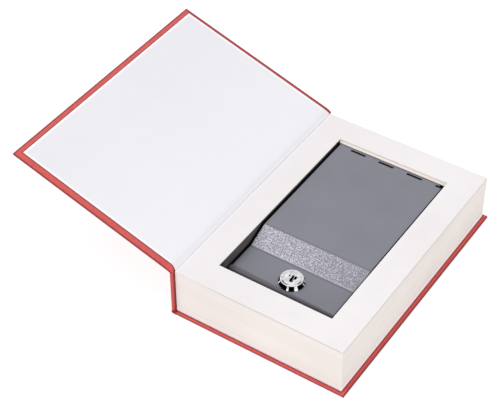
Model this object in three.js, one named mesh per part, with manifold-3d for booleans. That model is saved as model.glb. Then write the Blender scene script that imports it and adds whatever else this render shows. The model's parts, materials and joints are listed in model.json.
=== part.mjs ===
import * as THREE from 'three';
import { mergeVertices } from 'three/addons/utils/BufferGeometryUtils.js';
import Module from 'manifold-3d';

// A book safe, lying open: a cloth hardback whose false pages frame a steel cash box.
// The box has a stepped lid on a rolled hinge, closed by a wafer cam lock.
// Lengths are in millimetres. X runs from the spine to the fore-edge, Y from the
// lock's end to the hinged end of the lid, and Z is up from the underside of the back cover.

const wasm = await Module();
wasm.setup();

// The block of false pages
const BLOCK_WIDTH = 154;
const BLOCK_LENGTH = 234;
const BLOCK_HEIGHT = 44;
const RIM_SIDE = 25;
const RIM_FRONT = 25;
const RIM_REAR = 24.5;
const TOP_SHEET = 0.8;
const PAGE_SKIN = 0.4;

// The hardback case
const BOARD = 1.6;
const CLOTH = 0.2;
const GLUE_GAP = 0.1;
const PAPER = 0.2;
const TURN_IN = 15;
const END_OVERHANG = 3;
const FORE_OVERHANG = 3.9;
const FRONT_MARGIN = 6.3;
const REAR_MARGIN = 3.6;
const FORE_MARGIN = 5.4;
const SPINE_GAP = 1;
const SPINE_INSET = 1;
const JOINT_CLOTH = 0.4;
const CREASE_RISE = 0.35;

// The hinge line of the front cover and how far the cover stands open
const COVER_OPEN_DEG = 162.2;
const HINGE_OUT = 2.9;
const HINGE_RISE = 1.13;
const CLOSED_GAP = 0.3;
const JOINT_WIDTH = 4;

// The steel cash box
const SHEET = 0.8;
const TRAY_CLEARANCE = 0.3;
const REAR_WALL_RISE = 0.3;
const KEEPER_SHEET = 1.5;
const KEEPER_BEND = 2.5;
const KEEPER_REACH = 12;
const KEEPER_LEG = 11;
const KEEPER_END_GAP = 3;

// The stepped lid
const LID_DROP = 3;
const LID_STEP = 8;
const LID_SIDE_GAP = 2.2;
const WING_GAP = 0.3;
const WING_LENGTH = 9;
const LID_FRONT_GAP = 7;
const FRONT_BEND = 10;
const FLANGE_DROP = 14;
const RAMP_SETBACK = 42;
const RAMP_RUN = 20;
const RAMP_BEND = 2;
const SIDE_FLANGE = 5;
const SIDE_FLANGE_REAR_GAP = 7;
const SEAT_GAP = 0.1;

// The rolled hinge of the lid
const BEAD_RADIUS = 1.5;
const BEAD_GAP = 0.2;
const BEAD_CURL_DEG = 260;
const BEAD_NOTCH = 3;
const HOOK_GAP = 0.25;
const SLOT_LENGTH = 14;
const SLOT_PITCH = 27.3;
const FIRST_SLOT = 12;
const SLOT_END_GAP = 1;
const LEAST_HOOK = 3;
const SLOT_WIDTH = 2;
const HOOK_TIP_DROP = 0.5;

// The cam lock
const LOCK_SETBACK = 25;
const BEZEL_RADIUS = 10.85;
const FACE_RADIUS = 9.3;
const BEZEL_HEIGHT = 4.5;
const BEZEL_FOOT = 0.8;
const FACE_BEVEL = 0.4;
const FACE_RING_RADIUS = 8;
const FACE_RING_DEPTH = 0.35;
const BARREL_RADIUS = 9;
const BARREL_FLATS = 16;
const BARREL_LENGTH = 14.5;
const BARREL_CLEARANCE = 0.2;
const PLUG_RADIUS = 6.5;
const PLUG_CLEARANCE = 0.1;
const PLUG_HEAD_RADIUS = 7.2;
const PLUG_HEAD = 1.5;
const PLUG_RECESS = 0.4;
const CLIP_SHEET = 1;
const CLIP_DEPTH = 0.8;
const CLIP_LEG = 2.4;
const CLIP_BRIDGE = 3;

// The key slot, the wafers and their springs
const KEYWAY_TURN_DEG = 12;
const KEYWAY_LENGTH = 7.4;
const KEYWAY_WIDTH = 2.4;
const KEYWAY_DEPTH = 16.7;
const GUIDE_X = 2.5;
const GUIDE_Y = 1.2;
const GUIDE_WIDTH = 2.1;
const GUIDE_LENGTH = 3.6;
const GUIDE_DEPTH = 1.2;
const DOT_X = -2.8;
const DOT_Y = 2.4;
const DOT_RADIUS = 0.55;
const DOT_DEPTH = 0.3;
const WAFER_COUNT = 5;
const WAFER_PITCH = 2.2;
const WAFER_DEPTH = 2.6;
const WAFER_SHEET = 0.95;
const WAFER_SLOT = 1.2;
const WAFER_WIDTH = 6;
const WAFER_FIT = 0.15;
const WAFER_TRAVEL = 1;
const WAFER_TIP = 5.6;
const WAFER_TAIL = 4.9;
const WAFER_WINDOW_CLEARANCE = 0.25;
const LUG_REACH = 1.6;
const LUG_LENGTH = 1.2;
const LUG_PLACE = -2.6;
const LOCK_GROOVE_DEPTH = 1;
const LOCK_GROOVE_LENGTH = 13.6;
const SPRING_RADIUS = 0.44;
const SPRING_WIRE = 0.11;
const SPRING_LENGTH = 3.7;
const SPRING_TURNS = 4;

// What the plug carries below the barrel
const TAIL_SQUARE = 7;
const TAIL_FIT = 0.1;
const STOP_SHEET = 1.2;
const STOP_DISC_RADIUS = 6.8;
const STOP_TAB_REACH = 8.7;
const STOP_TAB_DEG = 40;
const STOP_PLAY_DEG = 2;
const STOP_RIM_RADIUS = 7;
const LOCK_TURN_DEG = 90;
const CAM_SHEET = 2;
const CAM_HUB_RADIUS = 7.5;
const CAM_LENGTH = 19;
const CAM_TIP_RADIUS = 5;
const WASHER_RADIUS = 5.8;
const WASHER_SHEET = 1;
const SCREW_RADIUS = 1.6;
const SCREW_FIT = 0.1;
const SCREW_LENGTH = 5.6;
const SCREW_HEAD_RADIUS = 3.8;
const SCREW_HEAD = 2.2;
const SCREW_SLOT = 1;
const SCREW_SLOT_DEPTH = 1.1;

// How finely round shapes are faceted, and how far a cutter passes what it cuts
const ROUND_SIDES = 48;
const BEND_STEPS = 8;
const SPRING_STEPS = 8;
const WIRE_SIDES = 5;
const OVERRUN = 1;

// Places that follow from the sizes above
const COVER = BOARD + 2 * CLOTH + 2 * GLUE_GAP;
const SPINE_X = -BLOCK_WIDTH / 2;
const FORE_X = BLOCK_WIDTH / 2;
const FRONT_Y = -BLOCK_LENGTH / 2;
const REAR_Y = BLOCK_LENGTH / 2;
const BLOCK_Z = COVER + PAPER;
const RIM_Z = BLOCK_Z + BLOCK_HEIGHT;
const COVER_LENGTH = BLOCK_LENGTH + 2 * END_OVERHANG;
const WINDOW = {
  left: SPINE_X + RIM_SIDE,
  right: FORE_X - RIM_SIDE,
  front: FRONT_Y + RIM_FRONT,
  rear: REAR_Y - RIM_REAR,
};
const TRAY = {
  left: WINDOW.left - SHEET,
  right: WINDOW.right + SHEET,
  front: WINDOW.front - SHEET,
  rear: WINDOW.rear - TRAY_CLEARANCE,
  top: RIM_Z - TOP_SHEET - SEAT_GAP,
};
const POCKET = {
  left: TRAY.left - TRAY_CLEARANCE,
  right: TRAY.right + TRAY_CLEARANCE,
  front: TRAY.front - TRAY_CLEARANCE,
};
const HIGH_Z = RIM_Z - LID_DROP;
const LOW_Z = HIGH_Z - LID_STEP;
const BEAD_Y = TRAY.rear - SHEET - BEAD_GAP - BEAD_RADIUS;
const BEAD_Z = HIGH_Z - BEAD_RADIUS;
const LID_LEFT = TRAY.left + SHEET + LID_SIDE_GAP;
const LID_RIGHT = TRAY.right - SHEET - LID_SIDE_GAP;
const LOCK_Y = WINDOW.front + LOCK_SETBACK;
const KEEPER_Z = LOW_Z - FLANGE_DROP - SEAT_GAP;

const radians = THREE.MathUtils.degToRad;

// A closed mesh whose faces point outwards, as a solid for cutting and joining
function solidOf(geometry) {
  const bare = geometry.clone();
  bare.deleteAttribute('normal');
  bare.deleteAttribute('uv');
  const merged = mergeVertices(bare);
  const corners = merged.attributes.position;
  const triVerts = Uint32Array.from(merged.index.array);
  const a = new THREE.Vector3();
  const b = new THREE.Vector3();
  const c = new THREE.Vector3();
  let volume = 0;
  for (let i = 0; i < triVerts.length; i += 3) {
    a.fromBufferAttribute(corners, triVerts[i]);
    b.fromBufferAttribute(corners, triVerts[i + 1]);
    c.fromBufferAttribute(corners, triVerts[i + 2]);
    volume += a.dot(b.cross(c));
  }
  if (volume < 0) {
    triVerts.reverse();
  }
  const vertProperties = Float32Array.from(corners.array);
  return new wasm.Manifold(new wasm.Mesh({ numProp: 3, vertProperties, triVerts }));
}

function geometryOf(solid) {
  const mesh = solid.getMesh();
  const geometry = new THREE.BufferGeometry();
  geometry.setAttribute('position', new THREE.BufferAttribute(mesh.vertProperties, 3));
  geometry.setIndex(new THREE.BufferAttribute(mesh.triVerts, 1));
  return geometry;
}

function block(x0, x1, y0, y1, z0, z1) {
  const geometry = new THREE.BoxGeometry(x1 - x0, y1 - y0, z1 - z0);
  geometry.translate((x0 + x1) / 2, (y0 + y1) / 2, (z0 + z1) / 2);
  return solidOf(geometry);
}

function plate(shape, z0, z1) {
  const geometry = new THREE.ExtrudeGeometry(shape, { depth: z1 - z0, bevelEnabled: false });
  geometry.translate(0, 0, z0);
  return solidOf(geometry);
}

// A profile drawn in Y and Z, drawn out along X
function barAlongX(points, x0, x1) {
  const shape = new THREE.Shape(points);
  const geometry = new THREE.ExtrudeGeometry(shape, { depth: x1 - x0, bevelEnabled: false });
  const turn = new THREE.Matrix4().makeBasis(
    new THREE.Vector3(0, 1, 0),
    new THREE.Vector3(0, 0, 1),
    new THREE.Vector3(1, 0, 0),
  );
  geometry.applyMatrix4(turn);
  geometry.translate(x0, 0, 0);
  return solidOf(geometry);
}

// A profile drawn in X and Z, drawn out along Y
function barAlongY(points, y0, y1) {
  const shape = new THREE.Shape(points);
  const geometry = new THREE.ExtrudeGeometry(shape, { depth: y1 - y0, bevelEnabled: false });
  const turn = new THREE.Matrix4().makeBasis(
    new THREE.Vector3(1, 0, 0),
    new THREE.Vector3(0, 0, 1),
    new THREE.Vector3(0, -1, 0),
  );
  geometry.applyMatrix4(turn);
  geometry.translate(0, y1, 0);
  return solidOf(geometry);
}

function rod(radius, z0, z1) {
  const geometry = new THREE.CylinderGeometry(radius, radius, z1 - z0, ROUND_SIDES);
  geometry.rotateX(Math.PI / 2);
  geometry.translate(0, 0, (z0 + z1) / 2);
  return solidOf(geometry);
}

// A profile of radius and height, turned about Z
function turned(points) {
  const geometry = new THREE.LatheGeometry(points, ROUND_SIDES);
  geometry.rotateX(Math.PI / 2);
  return solidOf(geometry);
}

// The corners of a bent sheet with each bend rounded to its own radius
function rounded(corners, radii) {
  const path = [corners[0]];
  for (let i = 1; i < corners.length - 1; i++) {
    const back = corners[i - 1].clone().sub(corners[i]).normalize();
    const on = corners[i + 1].clone().sub(corners[i]).normalize();
    const half = Math.acos(back.dot(on)) / 2;
    const middle = back.clone().add(on).normalize();
    const centre = corners[i].clone().addScaledVector(middle, radii[i - 1] / Math.sin(half));
    const start = corners[i].clone().addScaledVector(back, radii[i - 1] / Math.tan(half));
    const sweep = Math.sign(back.cross(on)) * (2 * half - Math.PI);
    for (let k = 0; k <= BEND_STEPS; k++) {
      path.push(start.clone().rotateAround(centre, (sweep * k) / BEND_STEPS));
    }
  }
  path.push(corners[corners.length - 1]);
  return path;
}

// The outline of a sheet that follows a path, its thickness on the path's left
function bentSheet(path, thickness) {
  const inner = path.map((point, i) => {
    const before = path[Math.max(i - 1, 0)];
    const after = path[Math.min(i + 1, path.length - 1)];
    const inward = point.clone().sub(before).normalize();
    const outward = after.clone().sub(point).normalize();
    const first = i === 0 ? outward : inward;
    const second = i === path.length - 1 ? inward : outward;
    const side = new THREE.Vector2(-first.y - second.y, first.x + second.x).normalize();
    const normal = new THREE.Vector2(-second.y, second.x);
    return point.clone().addScaledVector(side, thickness / side.dot(normal));
  });
  return [...path, ...inner.reverse()];
}

const parts = new THREE.Group();
const frontCover = new THREE.Group();
const lid = new THREE.Group();
const lock = new THREE.Group();
const plug = new THREE.Group();
parts.add(frontCover, lid);
lid.add(lock);
lock.add(plug);

function add(group, name, solid, finish) {
  const mesh = new THREE.Mesh(geometryOf(solid), new THREE.MeshStandardMaterial(finish));
  mesh.name = name;
  group.add(mesh);
  return mesh;
}

const RED_CLOTH = { color: 0xd2544f, roughness: 0.8, metalness: 0 };
const GREYBOARD = { color: 0xa89f90, roughness: 0.9, metalness: 0 };
const WHITE_PAPER = { color: 0xf1eff0, roughness: 0.8, metalness: 0 };
const PAGE_CREAM = { color: 0xf3e9e3, roughness: 0.75, metalness: 0 };
const LINED_BOARD = { color: 0xf0e4d8, roughness: 0.85, metalness: 0 };
const LID_PAINT = { color: 0x85868f, roughness: 0.45, metalness: 0.4 };
const BOX_PAINT = { color: 0x4a4949, roughness: 0.5, metalness: 0.5 };
const CHROME = { color: 0xd8d9dc, roughness: 0.15, metalness: 1 };
const ZINC = { color: 0xb9b6a8, roughness: 0.4, metalness: 0.9 };
const BRASS = { color: 0xc9a65a, roughness: 0.35, metalness: 0.9 };
const SPRING_STEEL = { color: 0x8e9196, roughness: 0.35, metalness: 0.9 };

// The cloth of one cover panel, folded over its board. X runs from the joint to the
// fore-edge and Z from the outer face inwards. The joint's edge stays unfolded.
function coverCloth(width, length, foldsFore) {
  const open = width + OVERRUN;
  const foldX = foldsFore ? width - CLOTH : open;
  const turnX = foldsFore ? width - TURN_IN : open;
  const foldY = length / 2 - CLOTH;
  const turnY = length / 2 - TURN_IN;
  const roll = block(0, width, -length / 2, length / 2, 0, COVER);
  const room = block(-OVERRUN, foldX, -foldY, foldY, CLOTH, COVER - CLOTH);
  const inside = block(-OVERRUN, turnX, -turnY, turnY, COVER / 2, COVER + OVERRUN);
  return roll.subtract(room).subtract(inside);
}

function coverBoard(width, length, foldsFore) {
  const inset = CLOTH + GLUE_GAP;
  const endX = foldsFore ? width - inset : width;
  const endY = length / 2 - inset;
  return block(0, endX, -endY, endY, inset, COVER - inset);
}

const COVER_WIDTH = BLOCK_WIDTH + FORE_OVERHANG + HINGE_OUT - JOINT_WIDTH;
const PANEL_X = SPINE_X - HINGE_OUT + JOINT_WIDTH;
const SPINE_HEIGHT = BLOCK_HEIGHT - 2 * SPINE_INSET;
const SPINE_OUT = SPINE_X - SPINE_GAP - COVER;

function addBackCover() {
  const cloth = add(parts, 'back_cover_cloth', coverCloth(COVER_WIDTH, COVER_LENGTH, true), RED_CLOTH);
  const board = add(parts, 'back_board', coverBoard(COVER_WIDTH, COVER_LENGTH, true), GREYBOARD);
  cloth.position.x = PANEL_X;
  board.position.x = PANEL_X;
  const sheet = block(PANEL_X, FORE_X, FRONT_Y, REAR_Y, COVER, COVER + PAPER);
  add(parts, 'back_endpaper', sheet, WHITE_PAPER);
}

// The spine stands on edge, so its panel is turned up with the outer face to the left
function addSpine() {
  const cloth = coverCloth(SPINE_HEIGHT, COVER_LENGTH, false);
  const board = coverBoard(SPINE_HEIGHT, COVER_LENGTH, false);
  const upright = new THREE.Matrix4().makeBasis(
    new THREE.Vector3(0, 0, 1),
    new THREE.Vector3(0, -1, 0),
    new THREE.Vector3(1, 0, 0),
  );
  upright.setPosition(SPINE_OUT, 0, BLOCK_Z + SPINE_INSET);
  add(parts, 'spine_cloth', cloth, RED_CLOTH).applyMatrix4(upright);
  add(parts, 'spine_board', board, GREYBOARD).applyMatrix4(upright);
}

// The cloth that runs from the foot of the spine under to the back panel
function addBackJoint() {
  const bend = BLOCK_Z / 2;
  const corners = [
    new THREE.Vector2(PANEL_X, 0),
    new THREE.Vector2(SPINE_OUT, 0),
    new THREE.Vector2(SPINE_OUT, BLOCK_Z + SPINE_INSET),
  ];
  const path = rounded(corners, [bend]).reverse();
  const band = bentSheet(path, JOINT_CLOTH);
  add(parts, 'back_joint_cloth', barAlongY(band, -COVER_LENGTH / 2, COVER_LENGTH / 2), RED_CLOTH);
}

// The endpaper is pasted in a little nearer to the rear edge than to the front edge
const PAPER_FRONT_Y = -COVER_LENGTH / 2 + FRONT_MARGIN;
const PAPER_REAR_Y = COVER_LENGTH / 2 - REAR_MARGIN;

// The front panel is drawn shut, with the hinge line as its origin, and then turned open
const HINGE_X = SPINE_X - HINGE_OUT;
const HINGE_Z = RIM_Z + HINGE_RISE;
const PAPER_Z = CLOSED_GAP - HINGE_RISE;
const PANEL_Z = PAPER_Z + PAPER + GLUE_GAP;

function addFrontCover() {
  frontCover.position.set(HINGE_X, 0, HINGE_Z);
  frontCover.rotation.y = radians(-COVER_OPEN_DEG);
  const shut = new THREE.Matrix4().makeScale(1, -1, -1);
  shut.setPosition(JOINT_WIDTH, 0, PANEL_Z + COVER);
  const cloth = coverCloth(COVER_WIDTH, COVER_LENGTH, true);
  const board = coverBoard(COVER_WIDTH, COVER_LENGTH, true);
  add(frontCover, 'front_cover_cloth', cloth, RED_CLOTH).applyMatrix4(shut);
  add(frontCover, 'front_board', board, GREYBOARD).applyMatrix4(shut);
  const paperX = JOINT_WIDTH + COVER_WIDTH - FORE_MARGIN;
  const paper = block(JOINT_WIDTH, paperX, PAPER_FRONT_Y, PAPER_REAR_Y, PAPER_Z, PAPER_Z + PAPER);
  add(frontCover, 'front_endpaper', paper, WHITE_PAPER);
}

// A point of the front panel, drawn shut, where it lies with the cover open
function onOpenCover(x, z) {
  const angle = radians(COVER_OPEN_DEG);
  return new THREE.Vector2(x, z)
    .rotateAround(new THREE.Vector2(0, 0), angle)
    .add(new THREE.Vector2(HINGE_X, HINGE_Z));
}

function curveThrough(start, turn, end) {
  return new THREE.QuadraticBezierCurve(start, turn, end).getPoints(BEND_STEPS);
}

// Both flexible hinges of the cover: the cloth outside, and the endpaper's fold inside
function addFrontJoint() {
  const clothEnd = JOINT_WIDTH - GLUE_GAP;
  const end = onOpenCover(clothEnd, PANEL_Z + COVER);
  const before = onOpenCover(0, PANEL_Z + COVER);
  const start = new THREE.Vector2(SPINE_OUT, RIM_Z - SPINE_INSET + GLUE_GAP);
  const along = (SPINE_OUT - end.x) / (before.x - end.x);
  const turn = end.clone().lerp(before, along);
  const band = bentSheet(curveThrough(end, turn, start), JOINT_CLOTH);
  add(parts, 'front_joint_cloth', barAlongY(band, -COVER_LENGTH / 2, COVER_LENGTH / 2), RED_CLOTH);

  const paperEnd = onOpenCover(clothEnd, PAPER_Z);
  const paperStart = new THREE.Vector2(SPINE_X - GLUE_GAP, RIM_Z);
  const rise = paperStart.clone().lerp(paperEnd, 1 / 2);
  rise.y += CREASE_RISE;
  const fold = bentSheet(curveThrough(paperEnd, rise, paperStart), -PAPER);
  add(parts, 'endpaper_hinge', barAlongY(fold, PAPER_FRONT_Y, PAPER_REAR_Y), WHITE_PAPER);
}

// Four rails of board round the tray's pocket, a printed skin round the three page sides,
// and the top sheet, which covers the tray's upper edges up to its walls' inner faces
function addPageBlock() {
  const top = RIM_Z - TOP_SHEET;
  const skinX = FORE_X - PAGE_SKIN;
  const front = FRONT_Y + PAGE_SKIN;
  const rear = REAR_Y - PAGE_SKIN;
  const rails = {
    spine_rail: [SPINE_X, POCKET.left, front, rear],
    fore_rail: [POCKET.right, skinX, front, rear],
    front_rail: [POCKET.left, POCKET.right, front, POCKET.front],
    rear_rail: [POCKET.left, POCKET.right, WINDOW.rear, rear],
  };
  for (const [name, sides] of Object.entries(rails)) {
    add(parts, name, block(...sides, BLOCK_Z, top), LINED_BOARD);
  }
  const whole = block(SPINE_X, FORE_X, FRONT_Y, REAR_Y, BLOCK_Z, top);
  const inside = block(SPINE_X - OVERRUN, skinX, front, rear, BLOCK_Z - OVERRUN, RIM_Z);
  add(parts, 'page_edge_skin', whole.subtract(inside), PAGE_CREAM);
  const sheet = block(SPINE_X, FORE_X, FRONT_Y, REAR_Y, top, RIM_Z);
  const opening = block(
    WINDOW.left,
    WINDOW.right,
    WINDOW.front,
    WINDOW.rear,
    top - OVERRUN,
    RIM_Z + OVERRUN,
  );
  add(parts, 'top_sheet', sheet.subtract(opening), WHITE_PAPER);
}

// Where each slot of the lid's hinge starts and ends along X: as many slots as find room
// for a hook, of which the last may be cut short by the lid's edge
function hingeSlots() {
  const room = LID_RIGHT - LID_LEFT - FIRST_SLOT - LEAST_HOOK;
  const count = 1 + Math.floor(room / SLOT_PITCH);
  return Array.from({ length: count }, (_, i) => {
    const start = LID_LEFT + FIRST_SLOT + i * SLOT_PITCH;
    return [start, start + SLOT_LENGTH];
  });
}

// A hook from the rear wall under the lid's rolled edge and up in front of it
function hingeHook(x0, x1) {
  const reach = BEAD_RADIUS + HOOK_GAP + SHEET;
  const corners = [
    new THREE.Vector2(TRAY.rear, BEAD_Z - reach),
    new THREE.Vector2(BEAD_Y - reach, BEAD_Z - reach),
    new THREE.Vector2(BEAD_Y - reach, HIGH_Z - HOOK_TIP_DROP),
  ];
  const outline = bentSheet(rounded(corners, [reach]).reverse(), SHEET);
  return barAlongX(outline, x0, x1);
}

function addTray() {
  const { left, right, front, rear, top } = TRAY;
  const room = block(
    left + SHEET,
    right - SHEET,
    front + SHEET,
    rear - SHEET,
    BLOCK_Z + SHEET,
    top + OVERRUN,
  );
  const low = block(
    left + SHEET,
    right - SHEET,
    rear - SHEET - OVERRUN,
    rear + OVERRUN,
    BEAD_Z + REAR_WALL_RISE,
    top + OVERRUN,
  );
  let tray = block(left, right, front, rear, BLOCK_Z, top).subtract(room).subtract(low);
  for (const [start, end] of hingeSlots()) {
    const stop = Math.min(end - SLOT_END_GAP, LID_RIGHT - SLOT_END_GAP);
    tray = tray.add(hingeHook(start + SLOT_END_GAP, stop));
  }
  add(parts, 'cash_tray', tray, BOX_PAINT);
}

// An angle welded inside the front wall: the lid's front edge rests on it, and the
// cam turns in under it
function addKeeper() {
  const y0 = TRAY.front + SHEET;
  const x0 = TRAY.left + SHEET + KEEPER_END_GAP;
  const x1 = TRAY.right - SHEET - KEEPER_END_GAP;
  const corners = [
    new THREE.Vector2(y0 + KEEPER_REACH, KEEPER_Z),
    new THREE.Vector2(y0, KEEPER_Z),
    new THREE.Vector2(y0, KEEPER_Z - KEEPER_LEG),
  ];
  const outline = bentSheet(rounded(corners, [KEEPER_BEND]), KEEPER_SHEET);
  add(parts, 'keeper_ledge', barAlongX(outline, x0, x1), BOX_PAINT);
}

// The lid's section from its rolled rear edge to the foot of its front flange, drawn
// about the hinge line
function lidCurl() {
  const end = Math.PI / 2 - radians(BEAD_CURL_DEG);
  const steps = 2 * BEND_STEPS;
  return Array.from({ length: steps }, (_, i) => {
    const angle = end + (radians(BEAD_CURL_DEG) * i) / steps;
    return new THREE.Vector2(BEAD_RADIUS * Math.cos(angle), BEAD_RADIUS * Math.sin(angle));
  });
}

function lidCrown() {
  const front = WINDOW.front + LID_FRONT_GAP - BEAD_Y;
  const rampLow = WINDOW.front + RAMP_SETBACK - BEAD_Y;
  const corners = [
    new THREE.Vector2(0, BEAD_RADIUS),
    new THREE.Vector2(rampLow + RAMP_RUN, BEAD_RADIUS),
    new THREE.Vector2(rampLow, BEAD_RADIUS - LID_STEP),
    new THREE.Vector2(front, BEAD_RADIUS - LID_STEP),
    new THREE.Vector2(front, BEAD_RADIUS - LID_STEP - FLANGE_DROP),
  ];
  return rounded(corners, [RAMP_BEND, RAMP_BEND, FRONT_BEND]);
}

function lockOutline(radius, flats) {
  const round = rod(radius, -BARREL_LENGTH, OVERRUN);
  const across = block(-flats / 2, flats / 2, -radius, radius, -BARREL_LENGTH, OVERRUN);
  return round.intersect(across);
}

// The lid's front end is wider than the rest, with its rear corners cut off at 45 degrees
function lidWings(section) {
  const wingSide = LID_SIDE_GAP - WING_GAP;
  const wide = barAlongX(section, LID_LEFT - wingSide, LID_RIGHT + wingSide);
  const rearY = WINDOW.front + LID_FRONT_GAP + WING_LENGTH - BEAD_Y;
  const frontY = WINDOW.front - BEAD_Y;
  const outline = new THREE.Shape([
    new THREE.Vector2(WINDOW.left, frontY),
    new THREE.Vector2(WINDOW.right, frontY),
    new THREE.Vector2(WINDOW.right, rearY - LID_SIDE_GAP),
    new THREE.Vector2(LID_RIGHT, rearY),
    new THREE.Vector2(LID_LEFT, rearY),
    new THREE.Vector2(WINDOW.left, rearY - LID_SIDE_GAP),
  ]);
  const foot = BEAD_RADIUS - LID_STEP - FLANGE_DROP - OVERRUN;
  return wide.intersect(plate(outline, foot, BEAD_RADIUS + OVERRUN));
}

function addLid() {
  lid.position.set(0, BEAD_Y, BEAD_Z);
  const crown = lidCrown();
  const low = BEAD_RADIUS - LID_STEP;
  const section = bentSheet([...lidCurl(), ...crown], SHEET);
  let panel = barAlongX(section, LID_LEFT, LID_RIGHT).add(lidWings(section));

  const sideRear = -SIDE_FLANGE_REAR_GAP;
  const sideFront = WINDOW.front + LID_FRONT_GAP + FRONT_BEND + SEAT_GAP - BEAD_Y;
  const edge = crown.filter((p) => p.x < sideRear && p.x > sideFront);
  const top = [new THREE.Vector2(sideRear, BEAD_RADIUS), ...edge, new THREE.Vector2(sideFront, low)];
  const bottom = top.map((p) => new THREE.Vector2(p.x, p.y - SIDE_FLANGE)).reverse();
  panel = panel.add(barAlongX([...top, ...bottom], LID_LEFT, LID_LEFT + SHEET));
  panel = panel.add(barAlongX([...top, ...bottom], LID_RIGHT - SHEET, LID_RIGHT));

  const hookFront = -BEAD_RADIUS - HOOK_GAP - SHEET;
  const slotFront = hookFront - (SLOT_WIDTH - SHEET) / 2;
  for (const [start, end] of hingeSlots()) {
    const slot = block(start, end, slotFront, slotFront + SLOT_WIDTH, SHEET / 2, BEAD_RADIUS + OVERRUN);
    panel = panel.subtract(slot);
  }
  const notch = block(
    LID_RIGHT - BEAD_NOTCH,
    LID_RIGHT + OVERRUN,
    slotFront + SLOT_WIDTH,
    BEAD_RADIUS + OVERRUN,
    -BEAD_RADIUS - OVERRUN,
    BEAD_RADIUS + OVERRUN,
  );
  panel = panel.subtract(notch);
  const hole = lockOutline(BARREL_RADIUS + BARREL_CLEARANCE, BARREL_FLATS + 2 * BARREL_CLEARANCE);
  panel = panel.subtract(hole.translate([0, LOCK_Y - BEAD_Y, low]));
  add(lid, 'lid_panel', panel, LID_PAINT);
}

// The lock is drawn about its own axis, with zero at the lid's upper face
const TAIL_TOP = -BARREL_LENGTH;
const STOP_Z = TAIL_TOP - SEAT_GAP;
const CAM_Z = STOP_Z - STOP_SHEET - SEAT_GAP;
const WASHER_Z = CAM_Z - CAM_SHEET - SEAT_GAP;
const SCREW_Z = WASHER_Z - WASHER_SHEET - SEAT_GAP;
const TAIL_END = WASHER_Z + 2 * SEAT_GAP;
const WAFER_TOP = PLUG_RADIUS + WAFER_TRAVEL + SEAT_GAP;
const KEY_TURN = radians(KEYWAY_TURN_DEG);

// A ring's sector, from one angle to another, as a flat outline
function sector(inner, outer, from, to) {
  const shape = new THREE.Shape();
  shape.absarc(0, 0, outer, from, to, false);
  shape.absarc(0, 0, inner, to, from, true);
  return shape;
}

function bezelProfile() {
  const rim = new THREE.Path();
  rim.moveTo(0, SEAT_GAP);
  rim.lineTo(BEZEL_RADIUS, SEAT_GAP);
  rim.lineTo(BEZEL_RADIUS, BEZEL_FOOT);
  rim.quadraticCurveTo(FACE_RADIUS, BEZEL_FOOT + FACE_BEVEL, FACE_RADIUS, BEZEL_HEIGHT - FACE_BEVEL);
  rim.quadraticCurveTo(FACE_RADIUS, BEZEL_HEIGHT, FACE_RADIUS - FACE_BEVEL, BEZEL_HEIGHT);
  rim.lineTo(FACE_RING_RADIUS, BEZEL_HEIGHT);
  rim.lineTo(FACE_RING_RADIUS - FACE_RING_DEPTH, BEZEL_HEIGHT - FACE_RING_DEPTH);
  rim.lineTo(0, BEZEL_HEIGHT - FACE_RING_DEPTH);
  return rim.getPoints(BEND_STEPS / 2);
}

function addHousing() {
  const bore = rod(PLUG_RADIUS + PLUG_CLEARANCE, -BARREL_LENGTH - OVERRUN, BEZEL_HEIGHT + OVERRUN);
  const headFloor = BEZEL_HEIGHT - PLUG_RECESS - PLUG_HEAD - SEAT_GAP;
  const headBore = rod(PLUG_HEAD_RADIUS + PLUG_CLEARANCE, headFloor, BEZEL_HEIGHT + OVERRUN);
  let body = turned(bezelProfile()).add(lockOutline(BARREL_RADIUS, BARREL_FLATS));
  body = body.subtract(bore).subtract(headBore);

  const grooveY = PLUG_RADIUS + LOCK_GROOVE_DEPTH;
  const grooveX = WAFER_WIDTH / 2 + 2 * WAFER_FIT;
  const groove = block(-grooveX, grooveX, -grooveY, grooveY, -LOCK_GROOVE_LENGTH, 0);
  body = body.subtract(groove.rotate([0, 0, KEYWAY_TURN_DEG]));

  const clipTop = -SHEET - SEAT_GAP;
  for (const side of [-1, 1]) {
    const near = side * (BARREL_FLATS / 2 - CLIP_DEPTH);
    const far = side * (BARREL_FLATS / 2 + OVERRUN);
    const cut = block(
      Math.min(near, far),
      Math.max(near, far),
      -BARREL_RADIUS - OVERRUN,
      BARREL_RADIUS + OVERRUN,
      clipTop - CLIP_SHEET - 2 * SEAT_GAP,
      clipTop + SEAT_GAP,
    );
    body = body.subtract(cut);
  }

  // The stop rim stands below the barrel and leaves free the arc that the tab swings in
  const halfTab = STOP_TAB_DEG / 2 + STOP_PLAY_DEG;
  const from = radians(halfTab);
  const to = radians(360 - LOCK_TURN_DEG - halfTab);
  const rim = plate(
    sector(STOP_RIM_RADIUS, BARREL_RADIUS, from, to),
    STOP_Z - STOP_SHEET,
    -BARREL_LENGTH + OVERRUN,
  );
  const flats = block(
    -BARREL_FLATS / 2,
    BARREL_FLATS / 2,
    -BARREL_RADIUS,
    BARREL_RADIUS,
    STOP_Z - STOP_SHEET,
    -BARREL_LENGTH + OVERRUN,
  );
  body = body.add(rim.intersect(flats));
  add(lock, 'lock_housing', body, CHROME);
}

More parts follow.
